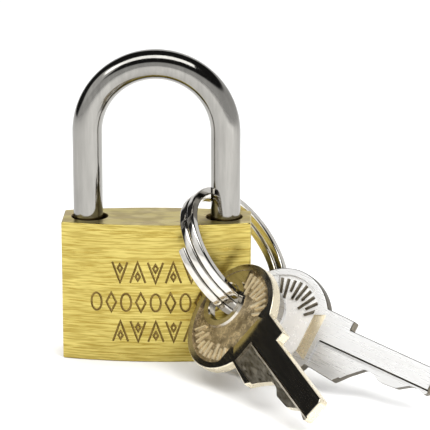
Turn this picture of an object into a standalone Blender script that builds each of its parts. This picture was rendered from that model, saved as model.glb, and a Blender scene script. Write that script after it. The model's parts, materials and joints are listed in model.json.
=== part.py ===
"""Pin-tumbler padlock with a split ring and two keys, in metres, +Z up.

The origin is the middle of the casing's bottom face. X runs from the heel leg
of the shackle to its toe leg, and Y from the front of the casing to its back.
The lock stands shackle up, its ring hangs round the toe leg and the casing's
corner, and the two keys lie in front with their tips on the ground. Inside,
the plug is turned to the open position: the latch is drawn back, the pins
stand at the shear line and the shackle is still pushed down.
"""

import math

import bmesh
import bpy
from mathutils import Matrix, Vector

MM = 0.001

# casing
BODY_WIDTH = 40.7 * MM
BODY_HEIGHT = 30.6 * MM
BODY_DEPTH_MIDDLE = 15.6 * MM
BODY_DEPTH_SIDE = 10.4 * MM
BODY_EDGE = 0.35 * MM
BODY_EDGE_ANGLE = 40
CROWN_STEPS = 12
CROSS_HOLE_START_Y = -3.5 * MM
CROSS_PIN_START_Y = -3.2 * MM

# shackle
ROD_RADIUS = 3.2 * MM
ROD_ROUNDING = 6
LEG_X = 14.85 * MM
ARCH_TOP_Z = 64.1 * MM
LEG_HOLE_RADIUS = 3.85 * MM
LEG_HOLE_X = 14.55 * MM
HEEL_END_Z = 8.0 * MM
HEEL_HOLE_Z = 3.0 * MM
TOE_END_Z = 20.4 * MM
TOE_HOLE_Z = 19.9 * MM
NECK_RADIUS = 2.0 * MM
NECK_LOW_Z = 10.0 * MM
NECK_HIGH_Z = 24.6 * MM
NECK_SHOULDER = 0.6 * MM
NOTCH_HALF_HEIGHT = 2.8 * MM
NOTCH_BEHIND_AXIS = 0.7 * MM
SHACKLE_SPRING_RADIUS = 2.6 * MM
SHACKLE_SPRING_WIRE = 0.4 * MM
SHACKLE_SPRING_GAP = 0.7 * MM
SPRING_TURNS = 3
SPRING_POINTS = 12
SHACKLE_PIN_RADIUS = 0.9 * MM
SHACKLE_PIN_Z = 23.2 * MM
SHACKLE_PIN_X = -LEG_X + 3.3 * MM
ARCH_STEP = 10

# plug and its cam
PLUG_X = -3.0 * MM
PLUG_RADIUS = 4.8 * MM
PLUG_BORE_RADIUS = 5.0 * MM
PLUG_TOP_Z = 22.0 * MM
PLUG_GROOVE_RADIUS = 3.9 * MM
PLUG_GROOVE_Z = 19.6 * MM
PLUG_GROOVE_HALF = 1.1 * MM
PLUG_PIN_RADIUS = 0.8 * MM
PLUG_PIN_X = PLUG_X - 4.95 * MM
KEYWAY_HALF_WIDTH = 1.2 * MM
KEYWAY_HALF_HEIGHT = 3.9 * MM
KEYWAY_TOP_Z = 18.0 * MM
PLUG_END_GAP = 0.3 * MM
PIN_HOLE_END_Y = -1.7 * MM
PLUG_PIN_BACK_INSET = 0.7 * MM
CAM_THROW = 1.6 * MM
CAM_SIDE = CAM_THROW * math.sqrt(0.5)
CAM_RADIUS = 0.8 * MM
CAM_TOP_Z = 25.3 * MM
CAM_WELL_RADIUS = 2.9 * MM

# latch
LATCH_Z = 26.0 * MM
LATCH_RADIUS = 2.3 * MM
LATCH_BORE_RADIUS = 2.5 * MM
LATCH_BACK_X = -7.2 * MM
LATCH_TIP_X = 11.2 * MM
LATCH_BORE_END_X = -9.6 * MM
LATCH_SLOT_CLEARANCE = 0.3 * MM
LATCH_NOSE = 1.5 * MM
LATCH_NOSE_RISE = 0.6 * MM
LATCH_NOSE_SLANT = 45
LATCH_SPRING_RADIUS = 1.8 * MM
LATCH_SPRING_WIRE = 0.2 * MM
LATCH_SPRING_GAP = 0.5 * MM
LATCH_STOPPER_LENGTH = 1.2 * MM

# pin stacks: each has a key pin, a driver pin, a spring and a plug in the side wall
STACK_COUNT = 4
STACK_FIRST_Z = 4.6 * MM
STACK_PITCH = 3.5 * MM
PIN_RADIUS = 1.1 * MM
CHAMBER_RADIUS = 1.3 * MM
PIN_GAP = 0.15 * MM
KEY_PIN_LENGTHS = (3.3 * MM, 2.6 * MM, 3.6 * MM, 2.9 * MM)
DRIVER_LENGTH = 4.0 * MM
CHAMBER_PLUG_LENGTH = 3.6 * MM
WALL_PLUG_INSET = 0.1 * MM
DRIVER_SPRING_RADIUS = 0.85 * MM
DRIVER_SPRING_WIRE = 0.16 * MM
DRIVER_SPRING_GAP = 0.4 * MM
DRIVER_SPRING_TURNS = 6
DRIVER_SPRING_POINTS = 8

# split ring: centre, the direction of its axis, and its wire
RING_CENTRE = Vector((17.0, -2.85, 23.5)) * MM
RING_AXIS = Vector((0.73, -0.32, 0.604)).normalized()
RING_RADIUS = 14.4 * MM
RING_HALF_WIDTH = 2.0 * MM
RING_HALF_HEIGHT = 0.95 * MM
RING_SEAM_DEPTH = 0.3 * MM
RING_EDGE = 0.4 * MM
RING_STEPS = 56

# keys: the hole's centre, the way the blade points and the way its spine faces
KEY_POSES = {
    "key_1": (
        Vector((15.45, -14.8, 15.55)) * MM,
        Vector((0.386, -0.889, -0.247)),
        Vector((0.64, 0.065, 0.766)),
    ),
    "key_2": (
        Vector((23.1, -11.5, 12.55)) * MM,
        Vector((0.755, -0.635, -0.161)),
        Vector((0.446, 0.32, 0.836)),
    ),
}
KEY_THICKNESS = 2.3 * MM
KEY_HOLE_RADIUS = 4.2 * MM
BOW_CENTRE_X = 5.0 * MM
BOW_CENTRE_Y = -0.8 * MM
BOW_HALF_LENGTH = 12.3 * MM
BOW_HALF_WIDTH = 12.2 * MM
BOW_TOP_ANGLE = 36
BOW_BOTTOM_ANGLE = 333
BOW_STEP = 9
BOW_RIM = 1.6 * MM
BOW_RECESS = 0.3 * MM
HOLE_RIM = 5.3 * MM
COLLAR_END_X = 22.3 * MM
COLLAR_TOP_Y = 6.2 * MM
COLLAR_BOTTOM_Y = -7.0 * MM
SPINE_Y = 4.2 * MM
KEY_TIP_X = 45.2 * MM
MILLING_Y = -0.4 * MM
MILLING_START_X = 17.0 * MM
MILLING_DEPTH = 0.45 * MM
MILLING_LOW_Y = -10.0 * MM
TIP_SLANT = 0.6 * MM
BITTING = (
    (23.7 * MM, COLLAR_BOTTOM_Y),
    (26.2 * MM, -4.5 * MM),
    (29.4 * MM, -1.9 * MM),
    (31.6 * MM, -2.0 * MM),
    (33.4 * MM, -3.0 * MM),
    (37.9 * MM, -2.7 * MM),
    (40.6 * MM, -1.1 * MM),
    (42.2 * MM, -0.9 * MM),
    (44.4 * MM, -1.5 * MM),
    (KEY_TIP_X, -0.9 * MM),
)

ROUND_SIDES = 24
SMALL_SIDES = 12
OVERSHOOT = 0.5 * MM
WELD = 0.00001
SHARP_ANGLE = 30

PART_COLLECTION = "padlock"
CUTTER_COLLECTION = "cutters"

BRASS = ((0.72, 0.52, 0.16, 1), 0.32)
TURNED_BRASS = ((0.78, 0.60, 0.24, 1), 0.28)
CHROME = ((0.72, 0.71, 0.69, 1), 0.18)
SPRING_STEEL = ((0.45, 0.45, 0.46, 1), 0.35)
RING_NICKEL = ((0.80, 0.79, 0.76, 1), 0.12)
DARK_NICKEL = ((0.22, 0.20, 0.16, 1), 0.22)
BRIGHT_NICKEL = ((0.86, 0.86, 0.85, 1), 0.25)


def clear_scene():
    """Remove every object, and make the two collections."""
    for old in list(bpy.data.objects):
        bpy.data.objects.remove(old, do_unlink=True)
    for name in (PART_COLLECTION, CUTTER_COLLECTION):
        if name not in bpy.data.collections:
            bpy.context.scene.collection.children.link(bpy.data.collections.new(name))


def put_in(piece, collection):
    """Move an object into one collection."""
    for home in list(piece.users_collection):
        home.objects.unlink(piece)
    bpy.data.collections[collection].objects.link(piece)
    return piece


def as_cutter(piece):
    """Make an object a cutter, which is not part of the padlock."""
    piece.hide_render = True
    piece.display_type = "WIRE"
    return put_in(piece, CUTTER_COLLECTION)


def as_part(piece, name, finish):
    """Name an object, shade it and give it its own metal."""
    colour, roughness = finish
    piece.name = name
    piece.data.name = name
    metal = bpy.data.materials.new(name)
    metal.use_nodes = True
    shader = metal.node_tree.nodes["Principled BSDF"]
    shader.inputs["Base Color"].default_value = colour
    shader.inputs["Metallic"].default_value = 1.0
    shader.inputs["Roughness"].default_value = roughness
    piece.data.materials.clear()
    piece.data.materials.append(metal)
    piece.data.shade_smooth()
    piece.data.set_sharp_from_angle(angle=math.radians(SHARP_ANGLE))
    return put_in(piece, PART_COLLECTION)


def box(low, high):
    """A box between two corners."""
    low, high = Vector(low), Vector(high)
    bpy.ops.mesh.primitive_cube_add(size=1, location=(low + high) / 2)
    block = bpy.context.object
    block.data.transform(Matrix.Diagonal(((high - low).x, (high - low).y, (high - low).z, 1)))
    return block


def rod(start, end, radius, sides=ROUND_SIDES):
    """A round bar between two points, with flats rather than corners on its own X and Y."""
    start, end = Vector(start), Vector(end)
    along = end - start
    bpy.ops.mesh.primitive_cylinder_add(
        vertices=sides, radius=radius, depth=along.length, location=(start + end) / 2
    )
    bar = bpy.context.object
    bar.data.transform(Matrix.Rotation(math.pi / sides, 4, "Z"))
    bar.rotation_euler = along.to_track_quat("Z", "Y").to_euler()
    return bar


def turned(profile, sides=ROUND_SIDES):
    """A closed profile of (radius, height) points, turned about Z into a ring."""
    data = bpy.data.meshes.new("profile")
    shape = bmesh.new()
    corners = [shape.verts.new((radius, 0, height)) for radius, height in profile]
    for index, corner in enumerate(corners):
        shape.edges.new((corner, corners[(index + 1) % len(corners)]))
    shape.to_mesh(data)
    shape.free()
    ring = bpy.data.objects.new("turned", data)
    bpy.context.scene.collection.objects.link(ring)
    screw = ring.modifiers.new("turn", "SCREW")
    screw.steps = sides
    screw.render_steps = sides
    screw.use_merge_vertices = True
    screw.merge_threshold = WELD
    return ring


def curve_to_mesh(curve_object):
    """Turn a curve object into a mesh object with its caps welded."""
    bpy.context.view_layer.update()
    evaluated = curve_object.evaluated_get(bpy.context.evaluated_depsgraph_get())
    data = bpy.data.meshes.new_from_object(evaluated)
    shape = bmesh.new()
    shape.from_mesh(data)
    bmesh.ops.remove_doubles(shape, verts=shape.verts, dist=WELD)
    bmesh.ops.recalc_face_normals(shape, faces=shape.faces)
    shape.to_mesh(data)
    shape.free()
    solid = bpy.data.objects.new(curve_object.name, data)
    solid.matrix_world = curve_object.matrix_world
    bpy.context.scene.collection.objects.link(solid)
    bpy.data.objects.remove(curve_object, do_unlink=True)
    return solid


def wire(points, radius, resolution=2):
    """A round wire along a list of points."""
    data = bpy.data.curves.new("wire", "CURVE")
    data.dimensions = "3D"
    data.bevel_depth = radius
    data.bevel_resolution = resolution
    data.use_fill_caps = True
    path = data.splines.new("POLY")
    path.points.add(len(points) - 1)
    for spot, point in zip(path.points, points):
        spot.co = (*point, 1)
    piece = bpy.data.objects.new("wire", data)
    bpy.context.scene.collection.objects.link(piece)
    return curve_to_mesh(piece)


def plate(outline, thickness):
    """A flat plate in the XY plane, centred on Z = 0, from an outline of points."""
    data = bpy.data.curves.new("outline", "CURVE")
    data.dimensions = "2D"
    data.fill_mode = "BOTH"
    data.extrude = thickness / 2
    path = data.splines.new("POLY")
    path.points.add(len(outline) - 1)
    path.use_cyclic_u = True
    for spot, (x, y) in zip(path.points, outline):
        spot.co = (x, y, 0, 1)
    piece = bpy.data.objects.new("plate", data)
    bpy.context.scene.collection.objects.link(piece)
    return curve_to_mesh(piece)


def change(piece, tool, operation="DIFFERENCE"):
    """Cut a piece with a tool, or join the tool to it."""
    as_cutter(tool)
    step = piece.modifiers.new(operation.lower(), "BOOLEAN")
    step.operation = operation
    step.solver = "EXACT"
    step.object = tool


def coil(start, end, radius, wire_radius, turns=SPRING_TURNS, points_per_turn=SPRING_POINTS):
    """A compression spring's wire from one point to another."""
    start, end = Vector(start), Vector(end)
    along = end - start
    turn_frame = along.to_track_quat("Z", "Y")
    count = turns * points_per_turn
    points = []
    for step in range(count + 1):
        angle = 2 * math.pi * step / points_per_turn
        swing = turn_frame @ Vector((radius * math.cos(angle), radius * math.sin(angle), 0))
        points.append(start + along * (step / count) + swing)
    return wire(points, wire_radius)


def stack_heights():
    """The heights of the pin stacks."""
    return [STACK_FIRST_Z + STACK_PITCH * index for index in range(STACK_COUNT)]


def crowned_outline():
    """The casing seen from above: two bowed faces between flat sides."""
    half_width = BODY_WIDTH / 2
    side = BODY_DEPTH_SIDE / 2
    crown = BODY_DEPTH_MIDDLE / 2 - side
    radius = (half_width**2 + crown**2) / (2 * crown)
    front = []
    for step in range(CROWN_STEPS + 1):
        x = -half_width + BODY_WIDTH * step / CROWN_STEPS
        bow = math.sqrt(radius**2 - x**2) - (radius - crown)
        front.append((x, -side - bow))
    back = [(-x, -y) for x, y in front]
    return front + back


def make_casing():
    """The brass body, with all its holes drilled."""
    casing = plate(crowned_outline(), BODY_HEIGHT)
    casing.data.transform(Matrix.Translation((0, 0, BODY_HEIGHT / 2)))
    edge = casing.modifiers.new("edges", "BEVEL")
    edge.width = BODY_EDGE
    edge.segments = 1
    edge.limit_method = "ANGLE"
    edge.angle_limit = math.radians(BODY_EDGE_ANGLE)
    top = BODY_HEIGHT + OVERSHOOT
    wall = BODY_WIDTH / 2 + OVERSHOOT
    back = BODY_DEPTH_MIDDLE / 2 + OVERSHOOT
    change(casing, rod((-LEG_HOLE_X, 0, HEEL_HOLE_Z), (-LEG_HOLE_X, 0, top), LEG_HOLE_RADIUS))
    change(casing, rod((LEG_HOLE_X, 0, TOE_HOLE_Z), (LEG_HOLE_X, 0, top), LEG_HOLE_RADIUS))
    bore_end = PLUG_TOP_Z + PLUG_END_GAP
    change(casing, rod((PLUG_X, 0, -OVERSHOOT), (PLUG_X, 0, bore_end), PLUG_BORE_RADIUS))
    change(casing, rod((PLUG_X, 0, PLUG_TOP_Z), (PLUG_X, 0, LATCH_Z), CAM_WELL_RADIUS, SMALL_SIDES))
    change(casing, rod((LATCH_BORE_END_X, 0, LATCH_Z), (wall, 0, LATCH_Z), LATCH_BORE_RADIUS))
    for height in stack_heights():
        change(casing, rod((PLUG_X, 0, height), (wall, 0, height), CHAMBER_RADIUS, SMALL_SIDES))
    for x, z, radius in (
        (SHACKLE_PIN_X, SHACKLE_PIN_Z, SHACKLE_PIN_RADIUS),
        (PLUG_PIN_X, PLUG_GROOVE_Z, PLUG_PIN_RADIUS),
    ):
        start = (x, CROSS_HOLE_START_Y, z)
        change(casing, rod(start, (x, back, z), radius + PIN_GAP, SMALL_SIDES))
    return as_part(casing, "casing", BRASS)


def make_shackle():
    """The hardened U of round bar: a long heel leg with a neck, and a notched toe leg."""
    arch_z = ARCH_TOP_Z - LEG_X
    arch = []
    for degrees in range(180, -1, -ARCH_STEP):
        angle = math.radians(degrees)
        arch.append(Vector((LEG_X * math.cos(angle), 0, arch_z + LEG_X * math.sin(angle))))
    path = [Vector((-LEG_X, 0, HEEL_END_Z)), *arch, Vector((LEG_X, 0, TOE_END_Z))]
    shackle = wire(path, ROD_RADIUS, ROD_ROUNDING)
    outside = ROD_RADIUS + OVERSHOOT
    neck = turned(
        (
            (outside, NECK_HIGH_Z),
            (outside, NECK_LOW_Z),
            (NECK_RADIUS, NECK_LOW_Z),
            (NECK_RADIUS, NECK_HIGH_Z - NECK_SHOULDER),
        )
    )
    neck.location = (-LEG_X, 0, 0)
    change(shackle, neck)
    notch = box(
        (LEG_X - outside, -outside, LATCH_Z - NOTCH_HALF_HEIGHT),
        (LEG_X - NOTCH_BEHIND_AXIS, outside, LATCH_Z + NOTCH_HALF_HEIGHT),
    )
    change(shackle, notch)
    return as_part(shackle, "shackle", CHROME)


def make_shackle_fittings():
    """The spring under the heel leg and the pin that keeps that leg in."""
    spring = coil(
        (-LEG_X, 0, HEEL_HOLE_Z + SHACKLE_SPRING_GAP),
        (-LEG_X, 0, HEEL_END_Z - SHACKLE_SPRING_GAP),
        SHACKLE_SPRING_RADIUS,
        SHACKLE_SPRING_WIRE,
    )
    as_part(spring, "shackle_spring", SPRING_STEEL)
    pin = rod(
        (SHACKLE_PIN_X, CROSS_PIN_START_Y, SHACKLE_PIN_Z),
        (SHACKLE_PIN_X, BODY_DEPTH_SIDE / 2, SHACKLE_PIN_Z),
        SHACKLE_PIN_RADIUS,
        SMALL_SIDES,
    )
    as_part(pin, "shackle_pin", TURNED_BRASS)


def make_plug():
    """The plug with its keyway, its pin holes, a groove for its keeper and the cam pin on top."""
    bpy.ops.mesh.primitive_cylinder_add(
        vertices=ROUND_SIDES, radius=PLUG_RADIUS, depth=PLUG_TOP_Z, location=(PLUG_X, 0, 0)
    )
    plug = bpy.context.object
    plug.data.transform(Matrix.Translation((0, 0, PLUG_TOP_Z / 2)))
    low = PLUG_GROOVE_Z - PLUG_GROOVE_HALF
    high = PLUG_GROOVE_Z + PLUG_GROOVE_HALF
    outside = PLUG_RADIUS + OVERSHOOT
    groove = turned(
        (
            (outside, high),
            (outside, low),
            (PLUG_GROOVE_RADIUS, low),
            (PLUG_GROOVE_RADIUS, high),
        )
    )
    groove.location = (PLUG_X, 0, 0)
    change(plug, groove)
    for height in stack_heights():
        start = (PLUG_X, -outside, height)
        end = (PLUG_X, PIN_HOLE_END_Y, height)
        change(plug, rod(start, end, CHAMBER_RADIUS, SMALL_SIDES))
    keyway = box(
        (PLUG_X - KEYWAY_HALF_WIDTH, -KEYWAY_HALF_HEIGHT, -OVERSHOOT),
        (PLUG_X + KEYWAY_HALF_WIDTH, KEYWAY_HALF_HEIGHT, KEYWAY_TOP_Z),
    )
    change(plug, keyway)
    cam = rod(
        (PLUG_X - CAM_SIDE, -CAM_SIDE, PLUG_TOP_Z - OVERSHOOT),
        (PLUG_X - CAM_SIDE, -CAM_SIDE, CAM_TOP_Z),
        CAM_RADIUS,
        SMALL_SIDES,
    )
    change(plug, cam, "UNION")
    return as_part(plug, "plug", TURNED_BRASS)


def make_plug_pin():
    """The cross pin that keeps the plug in its bore."""
    pin = rod(
        (PLUG_PIN_X, CROSS_PIN_START_Y, PLUG_GROOVE_Z),
        (PLUG_PIN_X, BODY_DEPTH_MIDDLE / 2 - PLUG_PIN_BACK_INSET, PLUG_GROOVE_Z),
        PLUG_PIN_RADIUS,
        SMALL_SIDES,
    )
    as_part(pin, "plug_pin", TURNED_BRASS)


def make_latch():
    """The latch with its slanted nose and cam slot, its spring, and the plug that closes its bore."""
    latch = rod((LATCH_BACK_X, 0, LATCH_Z), (LATCH_TIP_X, 0, LATCH_Z), LATCH_RADIUS)
    half = CAM_RADIUS + LATCH_SLOT_CLEARANCE
    outside = LATCH_RADIUS + OVERSHOOT
    slot = box(
        (PLUG_X - CAM_SIDE - half, -outside, LATCH_Z - outside),
        (PLUG_X - CAM_SIDE + half, outside, CAM_TOP_Z + LATCH_SLOT_CLEARANCE),
    )
    change(latch, slot)
    reach = 4 * LATCH_NOSE
    nose = box((-reach / 2, -reach, 0), (reach / 2, reach, reach))
    nose.location = (LATCH_TIP_X, 0, LATCH_Z + LATCH_RADIUS + LATCH_NOSE_RISE)
    nose.rotation_euler = (0, math.radians(LATCH_NOSE_SLANT), 0)
    change(latch, nose)
    as_part(latch, "latch", TURNED_BRASS)
    spring = coil(
        (LATCH_BORE_END_X + LATCH_SPRING_GAP, 0, LATCH_Z),
        (LATCH_BACK_X - LATCH_SPRING_GAP, 0, LATCH_Z),
        LATCH_SPRING_RADIUS,
        LATCH_SPRING_WIRE,
    )
    as_part(spring, "latch_spring", SPRING_STEEL)
    end = BODY_WIDTH / 2 - WALL_PLUG_INSET
    start = end - LATCH_STOPPER_LENGTH
    stopper = rod((start, 0, LATCH_Z), (end, 0, LATCH_Z), LATCH_RADIUS)
    as_part(stopper, "latch_bore_plug", TURNED_BRASS)


def make_pin_stacks():
    """Four stacks of key pin, driver pin, spring and wall plug."""
    bore_x = PLUG_X + PLUG_BORE_RADIUS
    wall_x = BODY_WIDTH / 2 - WALL_PLUG_INSET
    outer_y = PIN_GAP - PLUG_RADIUS
    driver_x = bore_x + PIN_GAP
    driver_end = driver_x + DRIVER_LENGTH
    plug_x = wall_x - CHAMBER_PLUG_LENGTH
    for index, (z, length) in enumerate(zip(stack_heights(), KEY_PIN_LENGTHS), start=1):
        inner_y = outer_y + length
        key_pin = rod((PLUG_X, outer_y, z), (PLUG_X, inner_y, z), PIN_RADIUS, SMALL_SIDES)
        as_part(key_pin, f"key_pin_{index}", TURNED_BRASS)
        driver = rod((driver_x, 0, z), (driver_end, 0, z), PIN_RADIUS, SMALL_SIDES)
        as_part(driver, f"driver_pin_{index}", CHROME)
        spring = coil(
            (driver_end + DRIVER_SPRING_GAP, 0, z),
            (plug_x - DRIVER_SPRING_GAP, 0, z),
            DRIVER_SPRING_RADIUS,
            DRIVER_SPRING_WIRE,
            DRIVER_SPRING_TURNS,
            DRIVER_SPRING_POINTS,
        )
        as_part(spring, f"driver_spring_{index}", SPRING_STEEL)
        stopper = rod((plug_x, 0, z), (wall_x, 0, z), PIN_RADIUS, SMALL_SIDES)
        as_part(stopper, f"chamber_plug_{index}", TURNED_BRASS)


def make_key_ring():
    """The split ring: two flat turns lying together, with a seam between them all round."""
    inner = RING_RADIUS - RING_HALF_HEIGHT
    outer = RING_RADIUS + RING_HALF_HEIGHT
    edge = RING_EDGE
    half = RING_HALF_WIDTH
    profile = (
        (outer - edge, half),
        (outer, half - edge),
        (outer, edge),
        (outer - RING_SEAM_DEPTH, 0),
        (outer, -edge),
        (outer, edge - half),
        (outer - edge, -half),
        (inner + edge, -half),
        (inner, edge - half),
        (inner, half - edge),
        (inner + edge, half),
    )
    ring = turned(profile, RING_STEPS)
    lean = RING_AXIS.to_track_quat("Z", "Y").to_matrix().to_4x4()
    ring.matrix_world = Matrix.Translation(RING_CENTRE) @ lean
    return as_part(ring, "key_ring", RING_NICKEL)


def bow_outline(shrink):
    """The key's oval bow, open towards the blade, pulled in by a margin."""
    points = []
    for degrees in range(BOW_TOP_ANGLE, BOW_BOTTOM_ANGLE + 1, BOW_STEP):
        angle = math.radians(degrees)
        x = BOW_CENTRE_X + (BOW_HALF_LENGTH - shrink) * math.cos(angle)
        y = BOW_CENTRE_Y + (BOW_HALF_WIDTH - shrink) * math.sin(angle)
        points.append((x, y))
    return points


def key_pose(name):
    """The matrix that takes a key drawn round its own hole to its place."""
    hole, along, spine = KEY_POSES[name]
    along = along.normalized()
    spine = (spine - along * spine.dot(along)).normalized()
    facing = along.cross(spine)
    turn = Matrix((along, spine, facing)).transposed().to_4x4()
    return Matrix.Translation(hole) @ turn


def make_key(name, finish):
    """A flat key: an oval bow with a raised rim, a wide collar and a cut blade."""
    blade_end = (KEY_TIP_X - TIP_SLANT, SPINE_Y)
    spine = [(COLLAR_END_X, COLLAR_TOP_Y), (COLLAR_END_X, SPINE_Y), blade_end]
    outline = [*reversed(BITTING), *reversed(bow_outline(0)), *spine]
    key = plate(outline, KEY_THICKNESS)
    pose = key_pose(name)
    key.matrix_world = pose
    half = KEY_THICKNESS / 2
    for side in (-1, 1):
        recess = plate(bow_outline(BOW_RIM), 2 * BOW_RECESS)
        tall = BOW_RECESS + OVERSHOOT
        island = rod((0, 0, -tall), (0, 0, tall), HOLE_RIM)
        change(recess, island)
        recess.matrix_world = pose @ Matrix.Translation((0, 0, side * half))
        island.matrix_world = recess.matrix_world
        change(key, recess)
    hole = rod((0, 0, -half - OVERSHOOT), (0, 0, half + OVERSHOOT), KEY_HOLE_RADIUS)
    hole.matrix_world = pose
    change(key, hole)
    milling = box(
        (MILLING_START_X, MILLING_LOW_Y, half - MILLING_DEPTH),
        (KEY_TIP_X + OVERSHOOT, MILLING_Y, half + OVERSHOOT),
    )
    milling.matrix_world = pose @ milling.matrix_basis
    change(key, milling)
    return as_part(key, name, finish)


clear_scene()
make_casing()
make_shackle()
make_shackle_fittings()
make_plug()
make_plug_pin()
make_latch()
make_pin_stacks()
make_key_ring()
make_key("key_1", DARK_NICKEL)
make_key("key_2", BRIGHT_NICKEL)
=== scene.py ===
"""The looks of the padlock: its metals, its engraving, the split ring's turns and the keys' faces."""

import json
import math

import bmesh
import bpy
from mathutils import Matrix, Vector


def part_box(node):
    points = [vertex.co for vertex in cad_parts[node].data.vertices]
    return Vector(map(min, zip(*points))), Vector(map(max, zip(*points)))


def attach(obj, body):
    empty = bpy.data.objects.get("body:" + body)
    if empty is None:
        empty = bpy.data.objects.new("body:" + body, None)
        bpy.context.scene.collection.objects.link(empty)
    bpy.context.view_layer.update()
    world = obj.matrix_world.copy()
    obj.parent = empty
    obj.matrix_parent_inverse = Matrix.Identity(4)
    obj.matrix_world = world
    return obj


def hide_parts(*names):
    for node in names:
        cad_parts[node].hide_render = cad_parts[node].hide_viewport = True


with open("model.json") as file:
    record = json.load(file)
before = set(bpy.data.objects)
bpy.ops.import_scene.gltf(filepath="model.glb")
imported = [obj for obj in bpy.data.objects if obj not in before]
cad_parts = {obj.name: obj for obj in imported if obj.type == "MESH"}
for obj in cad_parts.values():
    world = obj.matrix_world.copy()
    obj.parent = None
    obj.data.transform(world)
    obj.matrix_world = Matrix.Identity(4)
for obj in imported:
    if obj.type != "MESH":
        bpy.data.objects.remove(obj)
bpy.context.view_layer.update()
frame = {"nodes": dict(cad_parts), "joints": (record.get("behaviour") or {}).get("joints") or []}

MM = 0.001
Y_AXIS = Vector((0, 1, 0))
Z_AXIS = Vector((0, 0, 1))
BEYOND = 0.5 * MM  # how far a cutter reaches past the surface that it cuts
FINE_ROUND, ROUND, SMALL_ROUND = 64, 48, 32  # the sides of round shapes, wide ones to narrow ones

JOINTS = {joint["name"]: joint for joint in frame["joints"]}


# ---------------------------------------------------------------- mesh tools


def link(name, data):
    """Put new data in the scene as an object."""
    thing = bpy.data.objects.new(name, data)
    bpy.context.scene.collection.objects.link(thing)
    return thing


def solid(name, shape):
    """An object from a finished bmesh."""
    data = bpy.data.meshes.new(name)
    shape.to_mesh(data)
    shape.free()
    return link(name, data)


def settle(piece):
    """Replace an object's mesh by its evaluated mesh, with no modifiers left."""
    bpy.context.view_layer.update()
    evaluated = piece.evaluated_get(bpy.context.evaluated_depsgraph_get())
    data = bpy.data.meshes.new_from_object(evaluated)
    piece.modifiers.clear()
    piece.data = data
    return piece


def bevel(piece, width, segments=3, angle=35):
    """Round an object's edges that are sharper than an angle in degrees."""
    modifier = piece.modifiers.new("bevel", "BEVEL")
    modifier.width = width
    modifier.segments = segments
    modifier.limit_method = "ANGLE"
    modifier.angle_limit = math.radians(angle)
    return settle(piece)


def boolean(piece, tool, operation="DIFFERENCE"):
    """Cut a piece with a tool or join the tool to it, then remove the tool."""
    modifier = piece.modifiers.new("boolean", "BOOLEAN")
    modifier.operation = operation
    modifier.solver = "EXACT"
    modifier.object = tool
    modifier.material_mode = "TRANSFER"
    settle(piece)
    bpy.data.objects.remove(tool, do_unlink=True)
    return piece


def smooth(piece, angle=30):
    """Shade an object smooth between its sharp edges."""
    piece.data.shade_smooth()
    piece.data.set_sharp_from_angle(angle=math.radians(angle))
    modifier = piece.modifiers.new("weights", "WEIGHTED_NORMAL")
    modifier.keep_sharp = True
    return settle(piece)


def rod(start, end, radius, sides, end_radius=None):
    """A round bar between two points, or a cone when the end has its own radius."""
    start, end = Vector(start), Vector(end)
    along = end - start
    turn = along.to_track_quat("Z", "Y").to_matrix().to_4x4()
    shape = bmesh.new()
    bmesh.ops.create_cone(
        shape,
        cap_ends=True,
        segments=sides,
        radius1=radius,
        radius2=radius if end_radius is None else end_radius,
        depth=along.length,
        matrix=Matrix.Translation((start + end) / 2) @ turn,
    )
    return solid("rod", shape)


def box(low, high):
    """A box between two corners."""
    low, high = Vector(low), Vector(high)
    size = high - low
    shape = bmesh.new()
    place = Matrix.Translation((low + high) / 2) @ Matrix.Diagonal((size.x, size.y, size.z, 1))
    bmesh.ops.create_cube(shape, size=1, matrix=place)
    return solid("box", shape)


def plate(outline, low, high, draft=0.0):
    """A plate between two heights from an outline of (x, y) points, its top wider by a draft."""
    centre = sum((Vector(point) for point in outline), Vector((0, 0))) / len(outline)
    shape = bmesh.new()
    rings = []
    for height, grow in ((low, 0.0), (high, draft)):
        ring = []
        for x, y in outline:
            out = (Vector((x, y)) - centre).normalized() * grow
            ring.append(shape.verts.new((x + out.x, y + out.y, height)))
        rings.append(ring)
    bottom, top = rings
    count = len(outline)
    for index in range(count):
        after = (index + 1) % count
        shape.faces.new((bottom[index], bottom[after], top[after], top[index]))
    shape.faces.new(list(reversed(bottom)))
    shape.faces.new(top)
    bmesh.ops.recalc_face_normals(shape, faces=shape.faces)
    return solid("plate", shape)


def hull(points):
    """The smallest solid round some points."""
    shape = bmesh.new()
    for point in points:
        shape.verts.new(point)
    bmesh.ops.convex_hull(shape, input=shape.verts)
    bmesh.ops.recalc_face_normals(shape, faces=shape.faces)
    return solid("hull", shape)


def sweep(path, section, sideways, closed=False):
    """A solid whose section of (out, across) points follows a path.

    sideways gives, for the index of a point of the path, the directions of out and across.
    """
    shape = bmesh.new()
    rings = []
    for index, point in enumerate(path):
        out, across = sideways(index)
        rings.append([shape.verts.new(point + out * a + across * b) for a, b in section])
    count = len(section)
    last = len(rings) if closed else len(rings) - 1
    for index in range(last):
        here, there = rings[index], rings[(index + 1) % len(rings)]
        for corner in range(count):
            after = (corner + 1) % count
            shape.faces.new((here[corner], here[after], there[after], there[corner]))
    if not closed:
        shape.faces.new(list(reversed(rings[0])))
        shape.faces.new(rings[-1])
    bmesh.ops.recalc_face_normals(shape, faces=shape.faces)
    return solid("sweep", shape)


def circle(radius, sides):
    """The points of a round section, with flats rather than corners on its axes."""
    turns = [2 * math.pi * (index + 0.5) / sides for index in range(sides)]
    return [(radius * math.cos(angle), radius * math.sin(angle)) for angle in turns]


def rounded_rectangle(half_out, half_across, corner, steps=3):
    """The points of a rectangular section with round corners."""
    points = []
    for quarter, (right, up) in enumerate(((1, 1), (-1, 1), (-1, -1), (1, -1))):
        x, y = right * (half_out - corner), up * (half_across - corner)
        for step in range(steps + 1):
            angle = math.radians(90 * (quarter + step / steps))
            points.append((x + corner * math.cos(angle), y + corner * math.sin(angle)))
    return points


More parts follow.
